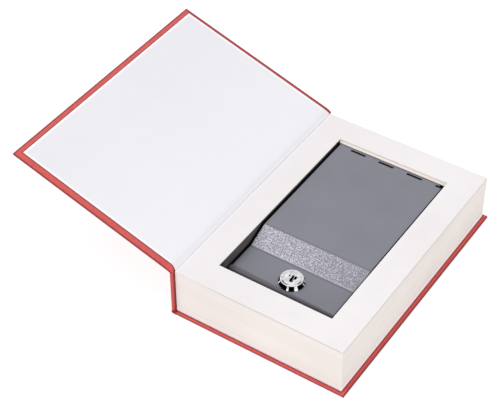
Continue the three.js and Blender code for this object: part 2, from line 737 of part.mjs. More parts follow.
// A forked spring plate pushed into the barrel's grooves under the lid
function addClip() {
  const inner = BARREL_FLATS / 2 - CLIP_DEPTH + SEAT_GAP;
  const outer = inner + CLIP_LEG;
  const end = BARREL_RADIUS + SEAT_GAP;
  const shape = new THREE.Shape([
    new THREE.Vector2(-outer, -end),
    new THREE.Vector2(-inner, -end),
    new THREE.Vector2(-inner, end),
    new THREE.Vector2(inner, end),
    new THREE.Vector2(inner, -end),
    new THREE.Vector2(outer, -end),
    new THREE.Vector2(outer, end + CLIP_BRIDGE),
    new THREE.Vector2(-outer, end + CLIP_BRIDGE),
  ]);
  const top = -SHEET - SEAT_GAP;
  add(lock, 'lock_clip', plate(shape, top - CLIP_SHEET, top), SPRING_STEEL);
}

// The key slot's slight S, in shares of its width and its length
function keywayShape() {
  const innerShare = 0.3;
  const outerShare = 0.5;
  const bendShare = 0.1;
  const w = KEYWAY_WIDTH;
  const h = KEYWAY_LENGTH;
  const half = [
    new THREE.Vector2(-innerShare * w, h * outerShare),
    new THREE.Vector2(-innerShare * w, h * bendShare),
    new THREE.Vector2(-outerShare * w, -h * bendShare),
    new THREE.Vector2(-outerShare * w, -h * outerShare),
  ];
  const other = half.map((p) => p.clone().negate());
  return new THREE.Shape([...half, ...other]);
}

function waferHeights() {
  return Array.from({ length: WAFER_COUNT }, (_, i) => -WAFER_DEPTH - i * WAFER_PITCH);
}

// The recess beside the key slot that guides the key's shoulder, and the index dot
function faceMarks(face) {
  const guide = block(
    GUIDE_X - GUIDE_WIDTH / 2,
    GUIDE_X + GUIDE_WIDTH / 2,
    GUIDE_Y - GUIDE_LENGTH / 2,
    GUIDE_Y + GUIDE_LENGTH / 2,
    face - GUIDE_DEPTH,
    face + OVERRUN,
  );
  return guide.add(rod(DOT_RADIUS, face - DOT_DEPTH, face + OVERRUN).translate([DOT_X, DOT_Y, 0]));
}

const LUG_SIDE = WAFER_WIDTH / 2 + LUG_REACH;
const SPRING_START = LUG_PLACE + LUG_LENGTH + SEAT_GAP;

function addPlug() {
  const face = BEZEL_HEIGHT - PLUG_RECESS;
  let body = rod(PLUG_RADIUS, TAIL_TOP, face).add(rod(PLUG_HEAD_RADIUS, face - PLUG_HEAD, face));
  const half = TAIL_SQUARE / 2;
  body = body.add(block(-half, half, -half, half, TAIL_END, TAIL_TOP + OVERRUN));
  body = body.subtract(rod(SCREW_RADIUS + SCREW_FIT, TAIL_END - OVERRUN, SCREW_Z + SCREW_LENGTH + SCREW_FIT));

  let cuts = plate(keywayShape(), face - KEYWAY_DEPTH, face + OVERRUN).add(faceMarks(face));
  const slotX = WAFER_WIDTH / 2 + WAFER_FIT;
  const pocketX = LUG_SIDE + 2 * WAFER_FIT;
  const pocketY0 = LUG_PLACE - WAFER_TRAVEL - SEAT_GAP;
  const pocketY1 = SPRING_START + SPRING_LENGTH + SEAT_GAP;
  for (const z of waferHeights()) {
    const z0 = z - WAFER_SLOT / 2;
    const z1 = z + WAFER_SLOT / 2;
    cuts = cuts.add(block(-slotX, slotX, -WAFER_TOP, WAFER_TOP, z0, z1));
    cuts = cuts.add(block(0, pocketX, pocketY0, pocketY1, z0, z1));
  }
  body = body.subtract(cuts.rotate([0, 0, KEYWAY_TURN_DEG]));
  add(plug, 'lock_plug', body, CHROME);
}

// Each wafer is a plate with a window for the key and a lug that its spring pushes
function addWafers() {
  const windowY = KEYWAY_LENGTH / 2 + WAFER_WINDOW_CLEARANCE;
  const windowX = KEYWAY_WIDTH / 2 + WAFER_WINDOW_CLEARANCE;
  const half = WAFER_SHEET / 2;
  waferHeights().forEach((z, i) => {
    let wafer = block(-WAFER_WIDTH / 2, WAFER_WIDTH / 2, -WAFER_TIP, WAFER_TAIL, -half, half);
    wafer = wafer.subtract(block(-windowX, windowX, -windowY, windowY, -WAFER_SHEET, WAFER_SHEET));
    wafer = wafer.add(block(windowX, LUG_SIDE, LUG_PLACE, LUG_PLACE + LUG_LENGTH, -half, half));
    const mesh = add(plug, `lock_wafer_${i + 1}`, wafer, BRASS);
    mesh.position.z = z;
    mesh.rotation.z = KEY_TURN;
  });
}

class SpringCurve extends THREE.Curve {
  getPoint(t, target = new THREE.Vector3()) {
    const angle = 2 * Math.PI * SPRING_TURNS * t;
    const y = SPRING_WIRE + t * (SPRING_LENGTH - 2 * SPRING_WIRE);
    return target.set(SPRING_RADIUS * Math.cos(angle), y, SPRING_RADIUS * Math.sin(angle));
  }
}

function addSprings() {
  const wire = new THREE.Shape();
  wire.absarc(0, 0, SPRING_WIRE, 0, 2 * Math.PI, false);
  const section = new THREE.Shape(wire.getPoints(WIRE_SIDES).slice(0, -1));
  const coil = new THREE.ExtrudeGeometry(section, {
    steps: SPRING_TURNS * SPRING_STEPS,
    extrudePath: new SpringCurve(),
  });
  const x = WAFER_WIDTH / 2 + LUG_REACH / 2 + WAFER_FIT;
  waferHeights().forEach((z, i) => {
    const spring = solidOf(coil).translate([x, SPRING_START, 0]);
    const mesh = add(plug, `wafer_spring_${i + 1}`, spring, SPRING_STEEL);
    mesh.position.z = z;
    mesh.rotation.z = KEY_TURN;
  });
  const gap = SPRING_LENGTH / SPRING_TURNS - 2 * SPRING_WIRE;
  console.log(`least gap between a wafer spring's turns: ${gap.toFixed(2)} mm`);
}

function squareHole(z0, z1) {
  const half = TAIL_SQUARE / 2 + TAIL_FIT;
  return block(-half, half, -half, half, z0, z1);
}

// The stop plate's tab meets the ends of the housing's rim, a quarter turn apart
function addStopPlate() {
  const z0 = STOP_Z - STOP_SHEET;
  const halfTab = radians(STOP_TAB_DEG / 2);
  const tab = plate(sector(STOP_DISC_RADIUS - OVERRUN, STOP_TAB_REACH, -halfTab, halfTab), z0, STOP_Z);
  const disc = rod(STOP_DISC_RADIUS, z0, STOP_Z).add(tab);
  const solid = disc.subtract(squareHole(z0 - OVERRUN, STOP_Z + OVERRUN));
  add(plug, 'lock_stop_plate', solid, ZINC);
}

function addCam() {
  const reach = CAM_LENGTH - CAM_TIP_RADIUS;
  const lean = Math.asin((CAM_HUB_RADIUS - CAM_TIP_RADIUS) / reach);
  const side = Math.PI / 2 - lean;
  const outline = new THREE.Shape();
  outline.absarc(0, 0, CAM_HUB_RADIUS, side, 2 * Math.PI - side, false);
  outline.absarc(reach, 0, CAM_TIP_RADIUS, -side, side, false);
  const solid = plate(outline, CAM_Z - CAM_SHEET, CAM_Z);
  const cam = solid.subtract(squareHole(CAM_Z - CAM_SHEET - OVERRUN, CAM_Z + OVERRUN));
  add(plug, 'lock_cam', cam, ZINC);
}

function addCamFixing() {
  const washer = rod(WASHER_RADIUS, WASHER_Z - WASHER_SHEET, WASHER_Z);
  const hole = rod(SCREW_RADIUS + SCREW_FIT, WASHER_Z - WASHER_SHEET - OVERRUN, WASHER_Z + OVERRUN);
  add(plug, 'cam_washer', washer.subtract(hole), SPRING_STEEL);

  const headEnd = SCREW_Z - SCREW_HEAD;
  const profile = new THREE.Path();
  profile.moveTo(0, headEnd);
  profile.quadraticCurveTo(SCREW_HEAD_RADIUS, headEnd, SCREW_HEAD_RADIUS, SCREW_Z);
  profile.lineTo(SCREW_RADIUS, SCREW_Z);
  profile.lineTo(SCREW_RADIUS, SCREW_Z + SCREW_LENGTH);
  profile.lineTo(0, SCREW_Z + SCREW_LENGTH);
  const half = SCREW_SLOT / 2;
  const slot = block(
    -SCREW_HEAD_RADIUS,
    SCREW_HEAD_RADIUS,
    -half,
    half,
    headEnd - OVERRUN,
    headEnd + SCREW_SLOT_DEPTH,
  );
  const screw = turned(profile.getPoints(BEND_STEPS / 2)).subtract(slot);
  add(plug, 'cam_screw', screw, ZINC);
}

function addLock() {
  lock.position.set(0, LOCK_Y - BEAD_Y, LOW_Z - BEAD_Z);
  addHousing();
  addClip();
  addPlug();
  addWafers();
  addSprings();
  addStopPlate();
  addCam();
  addCamFixing();
}

addBackCover();
addSpine();
addBackJoint();
addFrontCover();
addFrontJoint();
addPageBlock();
addTray();
addKeeper();
addLid();
addLock();

export default parts;
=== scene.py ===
import json
import math

import bpy
from mathutils import Matrix, Vector


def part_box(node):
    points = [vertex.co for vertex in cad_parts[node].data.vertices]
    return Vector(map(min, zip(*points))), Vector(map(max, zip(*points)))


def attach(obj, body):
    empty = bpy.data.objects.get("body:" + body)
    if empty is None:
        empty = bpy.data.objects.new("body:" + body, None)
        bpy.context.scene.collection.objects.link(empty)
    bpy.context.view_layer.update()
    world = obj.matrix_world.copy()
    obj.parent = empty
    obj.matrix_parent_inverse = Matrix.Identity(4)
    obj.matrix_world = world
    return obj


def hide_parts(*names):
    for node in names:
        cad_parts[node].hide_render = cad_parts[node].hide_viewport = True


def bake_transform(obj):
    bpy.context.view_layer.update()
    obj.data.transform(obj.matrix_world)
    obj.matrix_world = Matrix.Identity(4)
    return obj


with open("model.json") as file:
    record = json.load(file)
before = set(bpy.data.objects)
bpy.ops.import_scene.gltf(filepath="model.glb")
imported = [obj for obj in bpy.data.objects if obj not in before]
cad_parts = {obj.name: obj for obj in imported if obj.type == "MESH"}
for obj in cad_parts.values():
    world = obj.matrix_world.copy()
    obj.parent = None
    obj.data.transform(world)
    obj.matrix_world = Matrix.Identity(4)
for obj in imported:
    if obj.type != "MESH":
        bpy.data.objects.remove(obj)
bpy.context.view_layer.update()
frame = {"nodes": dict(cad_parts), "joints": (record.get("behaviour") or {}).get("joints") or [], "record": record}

bpy.ops.object.select_all(action="DESELECT")

# The studio: a plain white sweep of floor, a broad soft box overhead, a softer one from the
# front, and an even white surround. The camera stands in front, to the right and above,
# with a long lens.
mm = 0.001
CAMERA_PLACE = Vector((426.8, -761.1, 870.1)) * mm
CAMERA_TURN_DEG = (47.434, 0.264, 33.716)
CAMERA_LENS = 106.92
CAMERA_REACH = 20.0
SENSOR_WIDTH = 36.0
SURROUND_STRENGTH = 0.74
OVERHEAD_PLACE = Vector((-0.45, -0.15, 1.3))
OVERHEAD_WIDTH = 1.1
OVERHEAD_WATTS = 8.0
FRONT_PLACE = Vector((-0.5, -1.5, 0.7))
FRONT_WIDTH = 0.9
FRONT_WATTS = 1.8

bpy.context.scene.view_settings.view_transform = "Standard"
camera_turn = [math.radians(angle) for angle in CAMERA_TURN_DEG]
bpy.ops.object.camera_add(location=CAMERA_PLACE, rotation=camera_turn)
camera = bpy.context.object
camera.data.lens = CAMERA_LENS
camera.data.sensor_width = SENSOR_WIDTH
camera.data.clip_end = CAMERA_REACH
bpy.context.scene.camera = camera


def soft_box(place, width, watts):
    """A round soft light at place, aimed at the middle of the floor."""
    bpy.ops.object.light_add(type="AREA", location=place)
    light = bpy.context.object
    light.data.shape = "DISK"
    light.data.size = width
    light.data.energy = watts
    light.rotation_mode = "QUATERNION"
    light.rotation_quaternion = (-place).to_track_quat("-Z", "Y")


soft_box(OVERHEAD_PLACE, OVERHEAD_WIDTH, OVERHEAD_WATTS)
soft_box(FRONT_PLACE, FRONT_WIDTH, FRONT_WATTS)

surround = bpy.data.worlds.new("white_surround")
surround.use_nodes = True
backdrop = surround.node_tree.nodes["Background"]
backdrop.inputs["Color"].default_value = (1, 1, 1, 1)
backdrop.inputs["Strength"].default_value = SURROUND_STRENGTH
bpy.context.scene.world = surround


class Wire:
    """One output socket in a material. Sums on it add Math nodes, and node() adds any other."""

    def __init__(self, tree, socket=None):
        self.tree = tree
        self.socket = socket

    def node(self, kind, settings, inputs, output=0):
        made = self.tree.nodes.new(kind)
        for name, value in settings.items():
            setattr(made, name, value)
        for name, value in inputs.items():
            if isinstance(value, Wire):
                self.tree.links.new(value.socket, made.inputs[name])
            else:
                made.inputs[name].default_value = value
        return Wire(self.tree, made.outputs[output])

    def math(self, operation, *values):
        return self.node("ShaderNodeMath", {"operation": operation}, dict(enumerate(values)))

    def __add__(self, other):
        return self.math("ADD", self, other)

    __radd__ = __add__

    def __sub__(self, other):
        return self.math("SUBTRACT", self, other)

    def __rsub__(self, other):
        return self.math("SUBTRACT", other, self)

    def __mul__(self, other):
        return self.math("MULTIPLY", self, other)

    __rmul__ = __mul__

    def __truediv__(self, other):
        return self.math("DIVIDE", self, other)

    def __abs__(self):
        return self.math("ABSOLUTE", self)

    def sine(self):
        return self.math("SINE", self)

    def wrapped(self, period):
        return self.math("FLOORED_MODULO", self, period)

    def least(self, other):
        return self.math("MINIMUM", self, other)

    def most(self, other):
        return self.math("MAXIMUM", self, other)

    def long_side(self, other):
        """How far a point is from 0, when this and other are its distances along two axes."""
        return self.math("SQRT", self * self + other * other)

    def between(self, low, high):
        """0 below low, 1 above high, and smooth from one to the other."""
        inputs = {"Value": self, "From Min": low, "From Max": high}
        return self.node("ShaderNodeMapRange", {"interpolation_type": "SMOOTHSTEP"}, inputs)

    def below(self, low, high):
        """1 below low, 0 above high, and smooth from one to the other."""
        return 1 - self.between(low, high)

    def beside(self, centre, reach):
        """1 up to half of reach from centre, and 0 from reach on."""
        return abs(self - centre).below(reach / 2, reach)

    def axes(self):
        parts = self.tree.nodes.new("ShaderNodeSeparateXYZ")
        self.tree.links.new(self.socket, parts.inputs[0])
        return [Wire(self.tree, part) for part in parts.outputs]

    def moved(self, matrix):
        """This place as the matrix turns and shifts it."""
        turn = matrix.to_euler()
        shift = matrix.to_translation()
        inputs = {"Vector": self, "Rotation": turn, "Location": shift}
        return self.node("ShaderNodeMapping", {}, inputs)

    def grain(self, scale, detail=2.0, stretch=(1, 1, 1)):
        """Noise with features of about 1 / scale metres, drawn out where stretch is below 1."""
        mapped = self.node("ShaderNodeMapping", {}, {"Vector": self, "Scale": stretch})
        inputs = {"Vector": mapped, "Scale": scale, "Detail": detail}
        return self.node("ShaderNodeTexNoise", {}, inputs)

    def blend_to(self, first, second):
        """The first colour where this mask is 0, and the second where it is 1."""
        settings = {"data_type": "RGBA"}
        return self.node("ShaderNodeMix", settings, {0: self, 6: first, 7: second}, output=2)


class Finish:
    """A material with its Principled shader and the place that its patterns read."""

    def __init__(self, name, **fixed):
        self.material = bpy.data.materials.new(name)
        self.material.use_nodes = True
        self.tree = self.material.node_tree
        self.shader = self.tree.nodes["Principled BSDF"]
        for socket, value in fixed.items():
            self.shader.inputs[socket.replace("_", " ")].default_value = value
        self.place = Wire(self.tree).node("ShaderNodeTexCoord", {}, {}, "Object")

    def feed(self, socket, wire):
        self.tree.links.new(wire.socket, self.shader.inputs[socket])

    def relief(self, height, depth, strength):
        inputs = {"Height": height, "Distance": depth, "Strength": strength}
        self.feed("Normal", height.node("ShaderNodeBump", {}, inputs))

    def shade_in(self, mask, tone, share=1):
        """Turns the base colour that is fed so far to tone where the mask is 1, or a share of
        the way to it."""
        fed = self.shader.inputs["Base Color"].links[0].from_socket
        self.feed("Base Color", (mask * share).blend_to(Wire(self.tree, fed), tone))

    def on(self, piece):
        piece.data.materials.clear()
        piece.data.materials.append(self.material)


def colour(red, green, blue):
    """A colour given as on a screen, 0 to 255, in the light's own scale."""
    shares = [v / 255 for v in (red, green, blue)]
    linear = [v / 12.92 if v <= 0.04045 else ((v + 0.055) / 1.055) ** 2.4 for v in shares]
    return (*linear, 1)


FLOOR_SIZE = 8.0
FLOOR_DROP = 0.3 * mm
FLOOR_GLOW = 0.89
FLOOR_CLOUDS = 3
FLOOR_GREYS = (colour(120, 120, 121), colour(132, 132, 133))
FLOOR_WHITES = (colour(253, 253, 253), colour(255, 255, 255))

bpy.ops.mesh.primitive_plane_add(size=FLOOR_SIZE, location=(0, 0, -FLOOR_DROP))
floor = bpy.context.object
floor.name = "floor"
pale = Finish("white_floor", Roughness=0.9, Specular_IOR_Level=0.0, Emission_Strength=FLOOR_GLOW)
cloudy = pale.place.grain(FLOOR_CLOUDS)
pale.feed("Base Color", cloudy.blend_to(*FLOOR_GREYS))
pale.feed("Emission Color", cloudy.blend_to(*FLOOR_WHITES))
pale.on(floor)

# The case panels: front cover, spine and back cover. Each is greyboard wrapped in woven red
# book cloth, which is folded over three edges and glued down inside. The grains are in
# features per metre.
CLOTH_LIGHT = colour(224, 97, 92)
CLOTH_DARK = colour(200, 70, 68)
CLOTH_WORN = colour(230, 124, 118)
CLOTH_WARM = colour(226, 104, 72)
CLOTH_COOL = colour(212, 76, 94)
CLOTH_SHADE = colour(132, 36, 48)
CLOTH_PAINTED_LIGHT = colour(250, 110, 103)
CLOTH_DARKEST = colour(112, 12, 26)
CLOTH_DULL = colour(150, 98, 94)
SLUB_GRAIN = 900
SLUB_STRETCH = 0.15
BLOTCH_GRAIN = 45
WORN_GRAIN = 260
WORN_RANGE = (0.66, 0.8)
DYE_GRAIN = 700
WARM_RANGE = (0.5, 0.62)
COOL_RANGE = (0.38, 0.5)
PASTE_LINE = 1.3 * mm
DARK_EDGE = 0.9 * mm
FOOT_LINE = 1.2 * mm
FOOT_SHARE = 0.75
FOOT_ENDS_SHARE = 0.2
FACE_SKIN = 0.3 * mm
FOLD_FLARE = 2.4 * mm
THREAD_PITCH = 0.45 * mm
THREAD_DEPTH = 0.05 * mm
SIDE_WEAVE = 0.7
CASE_THICKNESS = 2.2 * mm
CASE_EDGE = 0.55 * mm
TURN_IN = 15 * mm
TURN_IN_STEP = 0.08 * mm
AT_EDGE = 1e-6
EDGE_SEGMENTS = 4
SAME_WAY = 0.99
FLAT_WEIGHT = 100
MITRE_WIDTH = 0.35 * mm
MITRE_DEPTH = 3
X_AXIS = 0
Z_AXIS = 2

hinge = next(j for j in frame["joints"] if j["name"] == "cover_hinge")
hinge_place = Vector(hinge["pos_m"])
open_angle = math.radians(-hinge["range_deg"][0])
as_opened = Matrix.Translation(hinge_place) @ Matrix.Rotation(-open_angle, 4, "Y")
as_shut = as_opened.inverted()


def book_cloth(name, laid_flat=Matrix.Identity(4), corner=None):
    """Red cloth whose threads run along and across its panel. laid_flat turns the panel flat
    for the threads, and corner is where its folded corners' seams start from inside. Gives
    the finish and the panel's three axes, laid flat."""
    cloth = Finish(name, Roughness=0.78, Specular_IOR_Level=0.25, Sheen_Weight=0.15)
    laid = cloth.place.moved(laid_flat)
    across, along, through = laid.axes()
    wave = 2 * math.pi / THREAD_PITCH
    u = (across * wave).sine()
    v = (along * wave).sine()
    w = (through * wave).sine()
    weave = u * v + SIDE_WEAVE * v * w + SIDE_WEAVE * u * w
    slub = laid.grain(SLUB_GRAIN, detail=3, stretch=(SLUB_STRETCH, 1, 1))
    slub = slub + laid.grain(SLUB_GRAIN, detail=3, stretch=(1, SLUB_STRETCH, 1))
    blotch = laid.grain(BLOTCH_GRAIN, detail=4)
    shade = (0.5 + 0.22 * weave + 0.5 * (slub - 1) + 0.6 * (blotch - 0.5)).between(0, 1)
    cloth.feed("Base Color", shade.blend_to(CLOTH_DARK, CLOTH_LIGHT))
    worn = laid.grain(WORN_GRAIN, detail=5)
    cloth.shade_in(worn.between(*WORN_RANGE), CLOTH_WORN, share=0.35)
    dye = laid.grain(DYE_GRAIN, detail=3)
    cloth.shade_in(dye.between(*WARM_RANGE), CLOTH_WARM, share=0.5)
    cloth.shade_in(dye.below(*COOL_RANGE), CLOTH_COOL, share=0.5)
    cloth.feed("Roughness", 0.7 + 0.16 * blotch)
    relief = weave * 0.5 + slub
    if corner:
        off_seam = abs((corner[0] - across) - (corner[1] - abs(along)))
        inside = through.below(corner[2], corner[2] + CASE_EDGE)
        relief = relief - MITRE_DEPTH * inside * off_seam.below(0, MITRE_WIDTH)
    cloth.relief(relief, THREAD_DEPTH, strength=0.7)
    return cloth, across, along, through


def start_choosing(piece, kind):
    """Leaves the piece with nothing selected, ready to select its edges or faces in code."""
    bpy.context.view_layer.objects.active = piece
    bpy.ops.object.mode_set(mode="EDIT")
    bpy.ops.mesh.select_mode(type=kind)
    bpy.ops.mesh.select_all(action="DESELECT")
    bpy.ops.object.mode_set(mode="OBJECT")


def choose_edges(piece, wanted):
    """Goes into edit mode with the edges selected whose two ends pass."""
    start_choosing(piece, "EDGE")
    points = piece.data.vertices
    for edge in piece.data.edges:
        edge.select = wanted(*(points[i].co for i in edge.vertices))
    bpy.ops.object.mode_set(mode="EDIT")


def choose_faces(piece, wanted):
    """Goes into edit mode with the faces selected whose centre and normal pass."""
    start_choosing(piece, "FACE")
    for face in piece.data.polygons:
        face.select = wanted(face.center, face.normal)
    bpy.ops.object.mode_set(mode="EDIT")


def round_edges(piece, width, wanted):
    """Rounds the edges whose two ends pass."""
    choose_edges(piece, wanted)
    bpy.ops.mesh.bevel(offset=width, segments=EDGE_SEGMENTS, affect="EDGES")
    bpy.ops.object.mode_set(mode="OBJECT")


def smooth(piece, degrees=35):
    """Smooth shading over the bends, with the flat faces left flat."""
    if bpy.context.mode != "OBJECT":
        bpy.ops.object.mode_set(mode="OBJECT")
    bpy.ops.object.select_all(action="DESELECT")
    piece.select_set(True)
    bpy.context.view_layer.objects.active = piece
    bpy.ops.object.shade_smooth_by_angle(angle=math.radians(degrees))
    weighted = piece.modifiers.new("flat_faces_stay_flat", "WEIGHTED_NORMAL")
    weighted.keep_sharp = True
    weighted.weight = FLAT_WEIGHT
    bpy.ops.object.modifier_apply(modifier=weighted.name)
    piece.select_set(False)


def shut_box(node):
    """The corners of a front cover node, seen from the hinge with the cover turned shut."""
    places = [as_shut @ point.co for point in frame["nodes"][node].data.vertices]
    low = Vector([min(p[i] for p in places) for i in range(3)])
    high = Vector([max(p[i] for p in places) for i in range(3)])
    return low, high


def plain_block(name, middle, size):
    """A box with its place and size in its mesh, ready to shape."""
    bpy.ops.mesh.primitive_cube_add(size=1, location=middle, scale=size)
    piece = bpy.context.object
    piece.name = name
    bpy.ops.object.transform_apply(location=True, rotation=True, scale=True)
    return piece


def case_panel(name, low, high, joint_axis, joint_end):
    """A wrapped board with its edges rounded, apart from those along the joint."""
    piece = plain_block(name, (low + high) / 2, high - low)

    def off_the_joint(*ends):
        return any(abs(end[joint_axis] - joint_end) > AT_EDGE for end in ends)

    round_edges(piece, CASE_EDGE, off_the_joint)
    return piece


def step_turn_in(piece, facing):
    """Inside the turned-in border the cloth ends, and the bare board lies a little lower."""
    choose_faces(piece, lambda centre, normal: normal.dot(facing) > SAME_WAY)
    bpy.ops.mesh.inset(thickness=TURN_IN)
    bpy.ops.transform.translate(value=-TURN_IN_STEP * facing)
    bpy.ops.object.mode_set(mode="OBJECT")


def settle(piece, finish, body, slot, *nodes):
    """The piece takes its finish, rides on its body and stands for its CAD nodes."""
    finish.on(piece)
    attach(piece, body)
    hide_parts(*nodes)
    bpy.ops.object.select_all(action="DESELECT")


cover_low, cover_high = shut_box("front_cover_cloth")
paper_low, paper_high = shut_box("front_endpaper")
front_case = case_panel("front_cover_case", cover_low, cover_high, X_AXIS, cover_low.x)
step_turn_in(front_case, Vector((0, 0, -1)))
front_case.matrix_world = as_opened
bpy.ops.object.transform_apply(location=True, rotation=True, scale=True)
smooth(front_case)
corner = (cover_high.x, cover_high.y, cover_low.z)
front_cloth, across, along, through = book_cloth("red_cloth_front", as_shut, corner)

# Painted shade darkens the cloth beside the endpaper and along the outer edges, the rear
# margin all over. All of the margin inside is a little duller.
off_paper = (across - paper_high.x).most(paper_low.y - along).most(along - paper_high.y)
inner_face = through.below(cover_low.z + FACE_SKIN / 3, cover_low.z + FACE_SKIN)
front_cloth.shade_in(off_paper.beside(0, PASTE_LINE) * inner_face, CLOTH_SHADE, share=0.75)
front_cloth.shade_in(inner_face, CLOTH_DULL, share=0.18)
edge_shade = across.between(cover_high.x - 2 * DARK_EDGE, cover_high.x - DARK_EDGE)
edge_shade = edge_shade.most(along.between(cover_high.y - 3 * DARK_EDGE, cover_high.y - 1.5 * DARK_EDGE))
edge_shade = edge_shade.most(along.below(cover_low.y + DARK_EDGE / 4, cover_low.y + DARK_EDGE))
front_cloth.shade_in(edge_shade, CLOTH_SHADE, share=0.8)
settle(front_case, front_cloth, "front_cover", "cloth_red", "front_cover_cloth", "front_board")

# The back cover. Painted shade darkens its margin along the foot of the pages, more so at
# their two ends, and along its own edges. Painted light makes it a little paler past the fore edge, where the
# block shades it.
back_low, back_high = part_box("back_cover_cloth")
back_case = case_panel("back_cover_case", back_low, back_high, X_AXIS, back_low.x)
step_turn_in(back_case, Vector((0, 0, 1)))
smooth(back_case)
back_cloth, across, along, through = book_cloth("red_cloth_back")
block_low, block_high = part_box("page_edge_skin")
back_cloth.shade_in(across.between(block_high.x, block_high.x + FOOT_LINE), CLOTH_PAINTED_LIGHT, share=0.15)
off_block = (across - block_high.x).most(block_low.y - along).most(along - block_high.y)
top_face = through.between(back_high.z - FACE_SKIN, back_high.z - FACE_SKIN / 3)
at_the_ends = across.below(block_high.x - FOOT_LINE, block_high.x)
foot_share = FOOT_SHARE + FOOT_ENDS_SHARE * at_the_ends
foot_line = off_block.below(FOOT_LINE / 2, FOOT_LINE) * foot_share
back_cloth.shade_in(foot_line * top_face, CLOTH_SHADE)
fore_rim = across.between(back_high.x - 1.3 * DARK_EDGE, back_high.x - 0.7 * DARK_EDGE)
back_cloth.shade_in(fore_rim, CLOTH_SHADE, share=0.6)
end_sides = abs(along).between(back_high.y - DARK_EDGE, back_high.y - DARK_EDGE / 2)
end_sides = end_sides * through.below(CASE_THICKNESS - DARK_EDGE, CASE_THICKNESS)
back_cloth.shade_in(end_sides, CLOTH_SHADE, share=0.8)
fore_side = fore_rim * through.below(CASE_THICKNESS - CASE_EDGE, CASE_THICKNESS)
back_cloth.shade_in(fore_side, CLOTH_DARKEST, share=0.9)
settle(back_case, back_cloth, "book", "cloth_red", "back_cover_cloth", "back_board")

# The spine. Painted shade darkens its cloth inside, along the block, and on top beside the
# endpaper's fold and at the front end.
spine_low, spine_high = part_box("spine_cloth")
spine_case = case_panel("spine_case", spine_low, spine_high, Z_AXIS, spine_high.z)
smooth(spine_case)
red_cloth, across, along, through = book_cloth("red_cloth")
inner_side = across.between(spine_high.x - FACE_SKIN / 2, spine_high.x)
along_block = abs(along).below(-block_low.y, -block_low.y + 2 * FOOT_LINE)
red_cloth.shade_in(inner_side * along_block, CLOTH_SHADE, share=0.9)
paper_over = as_opened @ Vector((paper_low.x, 0, paper_low.z))
run = (across - paper_over.x).most(0) / (spine_high.x - paper_over.x)
fold_front = paper_low.y - FOLD_FLARE * run * run
beside_fold = along.beside(fold_front, PASTE_LINE)
behind_fold = along.between(paper_high.y, paper_high.y + PASTE_LINE)
front_side = along.below(spine_low.y + CASE_EDGE / 4, spine_low.y + CASE_EDGE)
above_spine = through.between(spine_high.z, spine_high.z + FACE_SKIN)
dark_top = beside_fold.most(behind_fold).most(front_side) * above_spine
red_cloth.shade_in(dark_top, CLOTH_SHADE, share=0.75)
back_edge = across.below(spine_low.x + CASE_EDGE / 2, spine_low.x + CASE_EDGE)
red_cloth.shade_in(back_edge * front_side, CLOTH_SHADE, share=0.5)
settle(spine_case, red_cloth, "book", "cloth_red", "spine_cloth", "spine_board")

# The two flexible joints. Under the spine the cloth simply turns to the back panel. At the
# front cover it is folded double at both ends, and bends in a curve between the book and
# the cover.
JOINT_STEPS = 14
JOINT_SMOOTH_DEG = 50


def curve(start, turn, end, share):
    """A point on the smooth curve from start to end that turn draws to its side."""
    return (1 - share) ** 2 * start + 2 * share * (1 - share) * turn + share ** 2 * end


def lengthwise(a, b):
    """Whether an edge runs from the cover to the book, before the strip is bent."""
    return abs(a.x - b.x) > AT_EDGE


def flexing_strip(name, front, rear, thickness, edge, inner, outer, flare=0.0):
    """A strip that runs from the cover to the book along two curves, with rounded ends. Its
    front end stands out further by flare at the book."""
    middle = (0, (front + rear) / 2, 0)
    piece = plain_block(name, middle, (1, rear - front, thickness))
    if edge:
        round_edges(piece, edge, lengthwise)
    choose_edges(piece, lengthwise)
    bpy.ops.mesh.subdivide(number_cuts=JOINT_STEPS - 1)
    bpy.ops.object.mode_set(mode="OBJECT")
    for point in piece.data.vertices:
        share = point.co.x + 0.5
        depth = 0.5 - point.co.z / thickness
        place = curve(*inner, share).lerp(curve(*outer, share), depth)
        spread = flare * share ** 2 if point.co.y < middle[1] else 0
        point.co = (place.x, point.co.y - spread, place.z)
    bpy.ops.object.mode_set(mode="EDIT")
    bpy.ops.mesh.select_all(action="SELECT")
    bpy.ops.mesh.normals_make_consistent(inside=False)
    bpy.ops.object.mode_set(mode="OBJECT")
    smooth(piece, JOINT_SMOOTH_DEG)
    return piece


def in_section(x, z):
    return Vector((x, 0, z))


cover_inner = as_opened @ in_section(cover_low.x, cover_low.z)
cover_outer = as_opened @ in_section(cover_low.x, cover_high.z)
cover_run = (as_opened.to_3x3() @ Vector((-1, 0, 0))).normalized()
spine_inner = in_section(spine_high.x, spine_high.z)
spine_outer = in_section(spine_low.x, spine_high.z)


def above(corner, start):
    """Where the cover's own line, run on from start, stands over a corner of the spine."""
    return start + cover_run * ((corner.x - start.x) / cover_run.x)


joint = flexing_strip(
    "front_joint",
    front=cover_low.y,
    rear=cover_high.y,
    thickness=CASE_THICKNESS,
    edge=CASE_EDGE,
    inner=(cover_inner, above(spine_inner, cover_inner), spine_inner),
    outer=(cover_outer, above(spine_outer, cover_outer), spine_outer),
)
red_cloth.on(joint)
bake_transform(joint)
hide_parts("front_joint_cloth")
red_cloth.on(frame["nodes"]["back_joint_cloth"])

